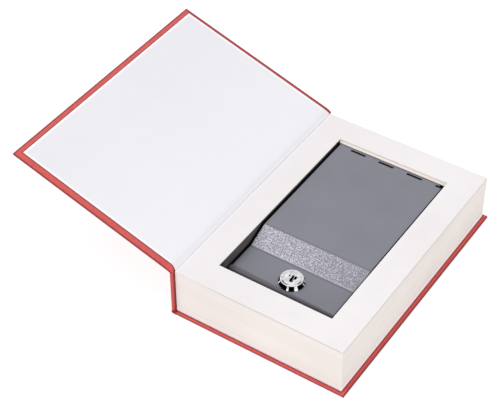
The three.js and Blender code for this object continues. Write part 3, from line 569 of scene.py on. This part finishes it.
# The paper. A white endpaper lines the front cover inside a narrow red margin, and folds
# across the hinge on to the block. The block's top is one white sheet with the window cut out.
PAPER_LIGHT = colour(226, 225, 230)
PAPER_SHADE = colour(223, 222, 227)
PAPER_WHITE = colour(250, 249, 252)
FOLD_LIGHT = colour(232, 231, 235)
FOLD_SHADE = colour(229, 228, 232)
FOLD_PAINTED_LIGHT = colour(244, 243, 248)
SHEET_LIGHT = colour(237, 233, 234)
SHEET_SHADE = colour(231, 227, 228)
SHEET_DULL = colour(224, 220, 221)
CREASE_GREY = colour(196, 192, 194)
CLOUD_GRAIN = 70
SLOW_GRAIN = 9
LONG_FIBRE_GRAIN = 2600
SHORT_FIBRE_GRAIN = 1200
PAPER_THICKNESS = 0.2 * mm
PAPER_EDGE = 0.25 * mm
FOLD_RISE = 0.5 * mm
RIDGE_WIDTH = 0.9 * mm
HOLLOW_WIDTH = 3.4 * mm
FIBRE_DEPTH = 0.02 * mm
RIPPLE_DEPTH = 0.5 * mm
CREASE_SHIFT = 0.2 * mm
CREASE_WIDTH = 0.7 * mm
BRIGHT_BORDER = 2.4 * mm
CUT_EDGE = 1.4 * mm


def paper(name, light, shade):
    """Smooth uncoated stock: cloudy fibres, faint specks and a slow ripple where it was glued."""
    sheet = Finish(name, Roughness=0.82, Specular_IOR_Level=0.2)
    clouds = sheet.place.grain(CLOUD_GRAIN, detail=5)
    slow = sheet.place.grain(SLOW_GRAIN, detail=2)
    tone = (0.5 + 0.8 * (clouds - 0.5) + 1.2 * (slow - 0.5)).between(0.1, 0.9)
    sheet.feed("Base Color", tone.blend_to(shade, light))
    sheet.feed("Roughness", 0.76 + 0.12 * clouds)
    fibres = sheet.place.grain(LONG_FIBRE_GRAIN, detail=3, stretch=(1, 0.35, 1))
    fibres = fibres + sheet.place.grain(SHORT_FIBRE_GRAIN, detail=4)
    sheet.relief(fibres * FIBRE_DEPTH + slow * RIPPLE_DEPTH, depth=1.0, strength=0.8)
    return sheet


paper("endpaper", PAPER_LIGHT, PAPER_SHADE).on(frame["nodes"]["back_endpaper"])

# Painted light whitens the front endpaper toward the hinge, and a painted highlight runs along its border.
front_paper = paper("front_endpaper", PAPER_LIGHT, PAPER_SHADE)
across, along, _ = front_paper.place.moved(as_shut).axes()
front_paper.shade_in(across.below(paper_low.x, paper_high.x), PAPER_WHITE, share=0.33)
from_edge = (paper_high.x - across).least(along - paper_low.y).least(paper_high.y - along)
front_paper.shade_in(from_edge.below(0.4 * BRIGHT_BORDER, BRIGHT_BORDER), PAPER_WHITE, share=0.8)
front_paper.on(frame["nodes"]["front_endpaper"])

# The fold rises from the endpaper in a low ridge, and is creased down along the block.
paper_under = as_opened @ in_section(paper_low.x, paper_high.z)
sheet_low, sheet_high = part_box("top_sheet")
block_edge = in_section(sheet_low.x - PAPER_THICKNESS / 2, sheet_high.z - PAPER_THICKNESS)
block_over = in_section(sheet_low.x - PAPER_THICKNESS / 2, sheet_high.z)
rise = Vector((0, 0, FOLD_RISE))
fold = flexing_strip(
    "endpaper_fold",
    front=paper_low.y,
    rear=paper_high.y,
    thickness=PAPER_THICKNESS,
    edge=0,
    inner=(paper_over, (paper_over + block_over) / 2 + rise, block_over),
    outer=(paper_under, (paper_under + block_edge) / 2 + rise, block_edge),
    flare=FOLD_FLARE,
)
folded = paper("endpaper_fold_paper", FOLD_LIGHT, FOLD_SHADE)
across = folded.place.axes()[0]
# A painted highlight runs along the ridge, painted light whitens the fold toward the block, and the crease line is
# painted shade.
folded.shade_in(across.beside(paper_over.x + RIDGE_WIDTH, RIDGE_WIDTH), FOLD_PAINTED_LIGHT, share=0.2)
folded.shade_in(across.between(sheet_low.x - HOLLOW_WIDTH, sheet_low.x), FOLD_PAINTED_LIGHT, share=0.5)
folded.shade_in(across.beside(sheet_low.x - CREASE_SHIFT, CREASE_WIDTH), CREASE_GREY, share=0.25)
folded.on(fold)
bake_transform(fold)
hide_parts("endpaper_hinge")

MERGE_WITHIN = 1e-6
FLAT_WITHIN_DEG = 0.5
SHARP_OVER_DEG = 40
body_of = {n: body for body, held in frame["record"]["behaviour"]["bodies"].items() for n in held}
slot_of = {part["node"]: part["material_slot"] for part in frame["record"]["subparts"]}


def eased(node, edge, finish, segments=2, smooth_under=35):
    """A merged copy of a CAD node with its sharp edges eased and its bends smooth."""
    piece = bpy.data.objects.new(node + "_finished", frame["nodes"][node].data.copy())
    bpy.context.scene.collection.objects.link(piece)
    bpy.context.view_layer.objects.active = piece
    piece.select_set(True)
    bpy.ops.object.mode_set(mode="EDIT")
    bpy.ops.mesh.select_all(action="SELECT")
    bpy.ops.mesh.remove_doubles(threshold=MERGE_WITHIN)
    bpy.ops.mesh.dissolve_limited(angle_limit=math.radians(FLAT_WITHIN_DEG))
    bpy.ops.object.mode_set(mode="OBJECT")
    bevel = piece.modifiers.new("eased_edges", "BEVEL")
    bevel.width = edge
    bevel.segments = segments
    bevel.limit_method = "ANGLE"
    bevel.angle_limit = math.radians(SHARP_OVER_DEG)
    bpy.ops.object.modifier_apply(modifier=bevel.name)
    smooth(piece, smooth_under)
    settle(piece, finish, body_of[node], slot_of[node], node)


# The top sheet is greyer toward the spine, and a painted highlight runs along its cut edge there.
top_paper = paper("top_sheet_paper", SHEET_LIGHT, SHEET_SHADE)
across = top_paper.place.axes()[0]
top_paper.shade_in(across.below(sheet_low.x, sheet_high.x), SHEET_DULL, share=0.5)
edge_highlight = across.below(sheet_low.x + CUT_EDGE / 2, sheet_low.x + CUT_EDGE)
top_paper.shade_in(edge_highlight, PAPER_WHITE, share=0.5)
eased("top_sheet", PAPER_EDGE, top_paper, segments=3)

# The false pages: a cream skin round three sides, printed and pressed to look like the
# edges of several hundred leaves, on four stiff rails lined with cream board.
PAGE_LIGHT = colour(247, 240, 235)
PAGE_SHADE = colour(237, 227, 222)
LEAF_PITCH = 0.14 * mm
LEAF_DEPTH = 0.03 * mm
LEAF_STRETCH = 0.004
BUNDLE_GRAIN = 300
BUNDLE_STRETCH = 0.02
STAIN_GRAIN = 14
SHEET_JOINT = 0.7 * mm
JOINT_BROWN = colour(186, 170, 164)
JOINT_START = -64 * mm
JOINT_FULL = -20 * mm
LIT_FOOT = 4 * mm
LIT_FOOT_FADE = 4 * mm
FOOT_LIGHT_WHITE = colour(255, 251, 248)
UNLIT = colour(0, 0, 0)
FOOT_GLOW = 0.2
FOOT_GLOW_TOP = 8 * mm
FORE_FACE = 1 * mm

pages = Finish("page_edges", Roughness=0.75, Specular_IOR_Level=0.2, Emission_Strength=FOOT_GLOW)
leaves = pages.place.grain(1 / LEAF_PITCH, detail=2, stretch=(LEAF_STRETCH, LEAF_STRETCH, 1))
bundles = pages.place.grain(BUNDLE_GRAIN, detail=3, stretch=(BUNDLE_STRETCH, BUNDLE_STRETCH, 1))
stains = pages.place.grain(STAIN_GRAIN, detail=2)
tone = 0.5 + 0.8 * (leaves - 0.5) + 0.6 * (bundles - 0.5) + 0.9 * (stains - 0.5)
pages.feed("Base Color", tone.between(0.1, 0.9).blend_to(PAGE_SHADE, PAGE_LIGHT))
pages.feed("Roughness", 0.68 + 0.16 * leaves)

# A brown line shows under the top sheet, more to the right. Painted light whitens the foot,
# and along the fore edge a painted glow lights it further.
across, _, up = pages.place.axes()
open_joint = up.between(sheet_low.z - SHEET_JOINT, sheet_low.z)
pages.shade_in(open_joint * across.between(JOINT_START, JOINT_FULL), JOINT_BROWN, share=0.85)
pages.shade_in(up.below(LIT_FOOT, LIT_FOOT + LIT_FOOT_FADE), FOOT_LIGHT_WHITE, share=0.9)
fore_foot = across.between(block_high.x - FORE_FACE, block_high.x)
fore_foot = fore_foot * up.below(CASE_THICKNESS, FOOT_GLOW_TOP)
pages.feed("Emission Color", fore_foot.blend_to(UNLIT, FOOT_LIGHT_WHITE))
pages.relief(leaves + bundles, LEAF_DEPTH, strength=0.7)
eased("page_edge_skin", PAPER_EDGE, pages, segments=3)

# The rails' cream lining shows inside the window, with a brown line just under the sheet, and glows faintly with
# painted light.
RAIL_CREAM = colour(255, 248, 240)
RAIL_BROWN = colour(178, 128, 106)
RAIL_LINE = 0.5 * mm
RAIL_LINE_SHARE = 0.8
RAIL_CLOUD_SHARE = 0.5
RAIL_GLOW = 0.38
BOARD_GRAIN = 220

rails = Finish("cream_board", Roughness=0.8, Specular_IOR_Level=0.2, Emission_Strength=RAIL_GLOW)
height = rails.place.axes()[2]
under_sheet = abs(height - (sheet_low.z - RAIL_LINE)).below(0, RAIL_LINE)
clouds = rails.place.grain(BOARD_GRAIN, detail=4)
lined = (clouds * RAIL_CLOUD_SHARE).blend_to(RAIL_CREAM, PAGE_SHADE)
board = (under_sheet * RAIL_LINE_SHARE).blend_to(lined, RAIL_BROWN)
rails.feed("Base Color", board)
rails.feed("Emission Color", board)
rails.relief(clouds, LEAF_DEPTH, strength=0.6)
for name in ("spine_rail", "fore_rail", "front_rail", "rear_rail"):
    rails.on(frame["nodes"][name])

# The steel cash box, pressed from thin sheet and powder coated nearly black, with four hooks
# bent up from its rear wall and a keeper angle spot-welded inside the front wall.
BOX_LIGHT = colour(122, 116, 115)
BOX_DARK = colour(84, 80, 79)
BOX_SHADOW = colour(24, 23, 24)
BOX_FLOOR = colour(62, 61, 64)
PIMPLE_GRAIN = 1500
SCUFF_GRAIN = 60
COAT_DEPTH = 0.04 * mm
LID_LOW_Z = 35.4 * mm
LID_STEP = 8 * mm
RAMP_LOW_Y = -50 * mm
RAMP_HIGH_Y = -30 * mm
INSIDE_START = 0.5 * mm
INSIDE_FADE = 0.6 * mm
INSIDE_GREY_FULL = -12 * mm
INSIDE_GREY_START = -6 * mm
HOOKS_Y = 86 * mm
FRONT_CORNER_Y = -93 * mm
FRONT_CORNER_FADE = 12 * mm
SHEET_EDGE = 0.12 * mm

box_paint = Finish("dark_powder_coat", Metallic=0.1, Specular_IOR_Level=0.3)
pimples = box_paint.place.grain(PIMPLE_GRAIN, detail=3)
scuffs = box_paint.place.grain(SCUFF_GRAIN, detail=5)
coat = (0.5 * pimples + 0.5 * scuffs).between(0.3, 0.7)
box_paint.feed("Base Color", coat.blend_to(BOX_DARK, BOX_LIGHT))
box_paint.feed("Roughness", 0.5 + 0.2 * scuffs)
box_paint.relief(pimples, COAT_DEPTH, strength=0.8)

# The rim above the lid is grey. Just below the lid's line a painted shadow turns the coat black,
# and farther down, on the floor and lower walls, it is dark grey. Painted shadow blackens the hooks and the corner
# at the front too.
_, along, up = box_paint.place.axes()
climbed = ((along - RAMP_LOW_Y) / (RAMP_HIGH_Y - RAMP_LOW_Y)).most(0).least(1)
over_lid = up - (LID_LOW_Z + LID_STEP * climbed)
box_paint.shade_in(over_lid.below(INSIDE_START, INSIDE_START + INSIDE_FADE), BOX_SHADOW)
box_paint.shade_in(over_lid.below(INSIDE_GREY_FULL, INSIDE_GREY_START), BOX_FLOOR)
box_paint.shade_in(along.between(HOOKS_Y, HOOKS_Y + INSIDE_FADE), BOX_SHADOW)
front_corner = along.below(FRONT_CORNER_Y, FRONT_CORNER_Y + FRONT_CORNER_FADE)
box_paint.shade_in(front_corner, BOX_SHADOW, share=0.8)
eased("cash_tray", SHEET_EDGE, box_paint)
eased("keeper_ledge", SHEET_EDGE, box_paint)

# The lid is one sheet, stepped down to a lower flat for the lock and bent down at the front.
# It is painted a cool grey. On the slope between the flats the coat is textured, and a painted
# reflection of the lamps lies on it as a coarse, sparkling mottle.
LID_LIGHT = colour(129, 129, 139)
LID_DARK = colour(121, 121, 131)
SPARK_LIGHT = colour(194, 192, 203)
SPARK_MIDDLE = colour(161, 159, 170)
SPARK_DARK = colour(124, 122, 132)
CREASE = colour(100, 98, 108)
PEEL_GRAIN = 1100
UNEVEN_GRAIN = 28
SPARK_GRAIN = 1050
FINE_SPARK_GRAIN = 1900
SPARK_RANGE = (0.425, 0.585)
PEEL_DEPTH = 0.015 * mm
SPARK_DEPTH = 0.08 * mm
LID_SKIN = 0.5 * mm
LID_SKIN_FADE = 0.2 * mm
BEND_LINE = 0.9 * mm
LOW_CREASE_SHARE = 0.7
HIGH_CREASE_SHARE = 0.45
RIGHT_DARKER = 0.07
RIGHT_START = -30 * mm
RIGHT_END = 70 * mm
LOW_DARKER = 0.18
LOW_FADE = 25 * mm

lid_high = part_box("lid_panel")[1]
lid_paint = Finish("lid_grey_paint", Metallic=0.1, Specular_IOR_Level=0.4)
across, along, up = lid_paint.place.axes()
peel = lid_paint.place.grain(PEEL_GRAIN, detail=3)
uneven = lid_paint.place.grain(UNEVEN_GRAIN, detail=3)
# Painted shade darkens the lower flat toward the front.
toward_front = (RAMP_LOW_Y - along).between(0, LOW_FADE)
flat_tone = (0.3 * peel + 0.7 * uneven + LOW_DARKER * toward_front).between(0.3, 0.9)
lid_paint.feed("Base Color", flat_tone.blend_to(LID_LIGHT, LID_DARK))

# Creases: painted shade darkens a line beside both bends.
slope = LID_STEP / (RAMP_HIGH_Y - RAMP_LOW_Y)
climb = (along - RAMP_LOW_Y).most(0).least(RAMP_HIGH_Y - RAMP_LOW_Y)
outside = (up - LID_LOW_Z - climb * slope).between(-LID_SKIN, LID_SKIN_FADE - LID_SKIN)
low_crease = along.beside(RAMP_LOW_Y - BEND_LINE, BEND_LINE)
high_crease = along.beside(RAMP_HIGH_Y + BEND_LINE, BEND_LINE)
creases = (LOW_CREASE_SHARE * low_crease).most(HIGH_CREASE_SHARE * high_crease)
lid_paint.shade_in(creases * outside, CREASE)

# The painted reflection on the slope is sparks of two sizes, fewer to the right. A painted
# highlight runs along the slope's lower edge.
on_ramp = along.between(RAMP_LOW_Y, RAMP_LOW_Y + BEND_LINE)
on_ramp = on_ramp * along.below(RAMP_HIGH_Y - BEND_LINE, RAMP_HIGH_Y) * outside
sparks = lid_paint.place.grain(SPARK_GRAIN, detail=1)
fine = lid_paint.place.grain(FINE_SPARK_GRAIN, detail=1)
rightward = across.between(RIGHT_START, RIGHT_END)
spark_tone = 0.65 * sparks + 0.35 * fine - RIGHT_DARKER * rightward
spark_tone = spark_tone.between(*SPARK_RANGE)
lid_paint.shade_in(on_ramp, SPARK_MIDDLE)
lid_paint.shade_in(on_ramp * spark_tone.between(0.5, 1), SPARK_LIGHT)
lid_paint.shade_in(on_ramp * spark_tone.below(0, 0.5), SPARK_DARK)
pale_edge = along.beside(RAMP_LOW_Y + BEND_LINE, BEND_LINE)
lid_paint.shade_in(pale_edge * outside, SPARK_LIGHT, share=0.25)
lid_paint.feed("Roughness", 0.5 - 0.12 * on_ramp + 0.1 * uneven)
lid_paint.relief(peel * PEEL_DEPTH + on_ramp * spark_tone * SPARK_DEPTH, depth=1.0, strength=0.8)

# Painted shade darkens the lid where the rim and walls shade it: on the front bend, deeper to
# the right, on the rolled rear edge, along the right edge, and round the slots of the hinge.
FRONT_BEND_SHADE = colour(92, 89, 96)
RIM_LINE = colour(58, 54, 58)
LINE_BLACK = colour(36, 32, 34)
SHADE_SLANT = 0.026
SHADE_LEFT = -45 * mm
FRONT_SHADE_Y = -75.3 * mm
FRONT_SHADE_FADE = 2.2 * mm
DEEP_SHADE_START = -20 * mm
DEEP_SHADE_FULL = 40 * mm
ROLL_SHADE = 2.4 * mm
RIM_SHADE_Y = -79.5 * mm
RIM_SHADE_FADE = 0.8 * mm
EDGE_LEAN = 0.455
EDGE_SHADE_X = 49.2 * mm
FIRST_SLOT_X = -37.8 * mm
SLOT_PITCH = 27.3 * mm
SLOT_LENGTH = 14 * mm
SLOT_Y = 87.55 * mm
SLOT_WIDTH = 2 * mm
SLOT_BORDER = 0.3 * mm

past_line = FRONT_SHADE_Y - SHADE_SLANT * (across - SHADE_LEFT) - along
front_shade = past_line.between(0, FRONT_SHADE_FADE)
deep_shade = front_shade * across.between(DEEP_SHADE_START, DEEP_SHADE_FULL)
rear_roll = along.between(lid_high.y - ROLL_SHADE, lid_high.y - ROLL_SHADE + BEND_LINE)
lid_paint.shade_in(front_shade, FRONT_BEND_SHADE, share=0.95)
lid_paint.shade_in(deep_shade, RIM_LINE, share=0.3)
lid_paint.shade_in(rear_roll, CREASE, share=0.5)
lid_paint.shade_in((RIM_SHADE_Y - along).between(0, RIM_SHADE_FADE), RIM_LINE)
lean = EDGE_LEAN * (LID_LOW_Z + LID_STEP - up)
beside_rim = (across + lean).between(EDGE_SHADE_X, EDGE_SHADE_X + BEND_LINE)
lid_paint.shade_in(beside_rim, LINE_BLACK, share=0.8)
from_slot = (across - FIRST_SLOT_X + SLOT_BORDER).wrapped(SLOT_PITCH)
in_slot = from_slot.below(SLOT_LENGTH + SLOT_BORDER, SLOT_LENGTH + 2 * SLOT_BORDER)
in_slot = in_slot * abs(along - SLOT_Y).below(SLOT_WIDTH / 2, SLOT_WIDTH / 2 + SLOT_BORDER)
past_first = across.between(FIRST_SLOT_X - 2 * SLOT_BORDER, FIRST_SLOT_X - SLOT_BORDER)
lid_paint.shade_in(in_slot * past_first, LINE_BLACK)
eased("lid_panel", SHEET_EDGE, lid_paint, smooth_under=30)

# The cam lock. Its face and barrel are one chromed zinc casting with turned rings, and the
# plug turns in it with the key. The skirt of the face is highly polished.
CHROME_LIGHT = colour(250, 250, 252)
CHROME_SHADE = colour(194, 195, 198)
CHROME_GREY = colour(70, 70, 74)
CHROME_BLACK = colour(9, 9, 11)
CHROME_METAL = 0.45
CHROME_FADE = 0.2 * mm
HAZE_GRAIN = 420
LOCK_X = 0.0
LOCK_Y = -67 * mm
LOCK_FACE_Z = 39.9 * mm
RING_PITCH = 0.9 * mm
RING_DEPTH = 0.01 * mm


def chrome(name, glint=0.0):
    """Bright plate with faint turned rings about the lock's axis. Gives the finish and what
    its marks read: the place from the axis, the radius, the angle in degrees, the height."""
    plated = Finish(name, Metallic=CHROME_METAL, Specular_IOR_Level=0.4, Emission_Strength=glint)
    x, y, height = plated.place.axes()
    right = x - LOCK_X
    back = y - LOCK_Y
    radius = right.long_side(back)
    angle = right.math("ARCTAN2", back, right) * (180 / math.pi)
    rings = (radius * (2 * math.pi / RING_PITCH)).sine()
    haze = plated.place.grain(HAZE_GRAIN, detail=4)
    tone = (0.5 + 0.22 * rings + 2.2 * (haze - 0.5)).between(0, 1)
    plated.feed("Base Color", tone.blend_to(CHROME_SHADE, CHROME_LIGHT))
    plated.feed("Roughness", 0.14 + 0.1 * haze)
    plated.relief(rings, RING_DEPTH, strength=0.5)
    return plated, right, back, radius, angle, height


# The housing. Its skirt carries a painted reflection of a dark room with a few lamps in it:
# black, with glowing streaks, a glowing white rim above and two dark arcs. A streak is given by the angle of its
# middle, its reach in degrees and its brightness, an arc by the first two.
HOUSING_EDGE = 0.1 * mm
SKIRT_RADIUS = 9 * mm
SKIRT_FADE = 0.15 * mm
SKIRT_TOP = 0.8 * mm
STREAKS = (
    (-139, 4, 1.0), (-77, 6, 0.95), (-38, 10, 1.0), (9, 4, 0.5),
    (34, 14, 0.3), (62, 7, 0.9), (118, 5, 1.0), (165, 8, 0.7),
)
RIM_ARCS = ((-106, 24), (-10, 14))
ARC_RADIUS = 8.1 * mm
ARC_WIDTH = 0.9 * mm
ARC_FADE = 6
ARC_TOP = 1 * mm
RIM_WHITE = 8.8 * mm
RIM_SHARE = 0.4
GLINT = 0.6

housing, _, _, radius, angle, height = chrome("lock_housing_chrome", GLINT)
skirt_top = LOCK_FACE_Z - SKIRT_TOP
on_skirt = radius.between(SKIRT_RADIUS, SKIRT_RADIUS + SKIRT_FADE)
on_skirt = on_skirt * height.between(LID_LOW_Z, LID_LOW_Z + CHROME_FADE)
on_skirt = on_skirt * height.below(skirt_top, LOCK_FACE_Z - SKIRT_TOP / 2)
streaks = sum(strength * angle.beside(middle, reach) for middle, reach, strength in STREAKS)
dark_skirt = on_skirt * (1 - streaks)
housing.shade_in(dark_skirt, CHROME_BLACK)
housing.feed("Metallic", CHROME_METAL + (1 - CHROME_METAL) * dark_skirt)
white_rim = radius.between(RIM_WHITE - CHROME_FADE, RIM_WHITE)
white_rim = white_rim * height.between(skirt_top, LOCK_FACE_Z)
bright = (on_skirt * streaks).most(RIM_SHARE * white_rim)
housing.feed("Emission Color", bright.blend_to(UNLIT, CHROME_LIGHT))
arcs = sum(
    abs(angle - middle).below(reach - ARC_FADE, reach + ARC_FADE) for middle, reach in RIM_ARCS
)
arcs = arcs * radius.beside(ARC_RADIUS, ARC_WIDTH)
housing.shade_in(arcs * height.between(LID_LOW_Z, LOCK_FACE_Z - ARC_TOP), CHROME_GREY)
eased("lock_housing", HOUSING_EDGE, housing)

# The plug. Painted shade darkens its key slot inside and spreads past the slot in black marks,
# and a grey mark darkens the index dimple. Each mark is given by its place from the lock's axis and its reach, in
# millimetres.
PLUG_EDGE = 0.08 * mm
PLUG_FACE_Z = LOCK_FACE_Z - 0.4 * mm
KEY_SLOT_RADIUS = 4.6 * mm
KEY_SLOT_LIT = 0.15 * mm
KEY_SLOT_DARK = 0.45 * mm
PLUG_MARKS = (
    (-3.1, 1.7, 1.1, CHROME_GREY),
    (1.1, -0.7, 1.1, CHROME_BLACK),
    (1.3, -2.8, 1.8, CHROME_BLACK),
    (2.4, 2.5, 1.2, CHROME_BLACK),
)

plug, right, back, radius, _, height = chrome("lock_plug_chrome")
sunk = radius.below(KEY_SLOT_RADIUS, KEY_SLOT_RADIUS + CHROME_FADE)
sunk = sunk * height.below(PLUG_FACE_Z - KEY_SLOT_DARK, PLUG_FACE_Z - KEY_SLOT_LIT)
plug.shade_in(sunk, CHROME_BLACK)
plug.feed("Metallic", CHROME_METAL + (1 - CHROME_METAL) * sunk)
for mark_right, mark_back, reach, tone in PLUG_MARKS:
    from_mark = (right - mark_right * mm).long_side(back - mark_back * mm)
    plug.shade_in(from_mark.below(0.6 * reach * mm, reach * mm), tone, share=0.9)
eased("lock_plug", PLUG_EDGE, plug)

# What holds and turns the lock inside: wafers stamped from brass with their coil springs, a
# sprung steel clip, and a zinc plated stop plate, cam and screw with a steel washer.
BRASS_LIGHT = colour(214, 178, 98)
BRASS_DARK = colour(176, 138, 66)
ZINC_LIGHT = colour(200, 198, 186)
ZINC_DARK = colour(158, 156, 146)
STEEL_LIGHT = colour(176, 179, 184)
STEEL_DARK = colour(120, 123, 128)
SCRATCH_GRAIN = 2500
TARNISH_GRAIN = 400
SCRATCH_DEPTH = 0.01 * mm
SMALL_EDGE = 0.08 * mm


def bare_metal(name, light, dark, roughness):
    """Stamped or plated metal with fine scratches one way and a cloudy tarnish."""
    metal = Finish(name, Metallic=1.0)
    scratches = metal.place.grain(SCRATCH_GRAIN, detail=2, stretch=(0.05, 1, 1))
    tarnish = metal.place.grain(TARNISH_GRAIN, detail=4)
    tone = (0.4 * scratches + 0.6 * tarnish).between(0.3, 0.7)
    metal.feed("Base Color", tone.blend_to(dark, light))
    metal.feed("Roughness", roughness + 0.2 * tarnish)
    metal.relief(scratches, SCRATCH_DEPTH, strength=0.6)
    return metal


brass = bare_metal("wafer_brass", BRASS_LIGHT, BRASS_DARK, roughness=0.25)
zinc = bare_metal("zinc_plate", ZINC_LIGHT, ZINC_DARK, roughness=0.35)
spring_steel = bare_metal("spring_steel", STEEL_LIGHT, STEEL_DARK, roughness=0.25)
for name, held in frame["nodes"].items():
    if name.startswith("lock_wafer"):
        brass.on(held)
    elif name.startswith("wafer_spring"):
        spring_steel.on(held)
for name in ("lock_stop_plate", "lock_cam", "cam_screw"):
    eased(name, SMALL_EDGE, zinc)
for name in ("cam_washer", "lock_clip"):
    eased(name, SMALL_EDGE, spring_steel)
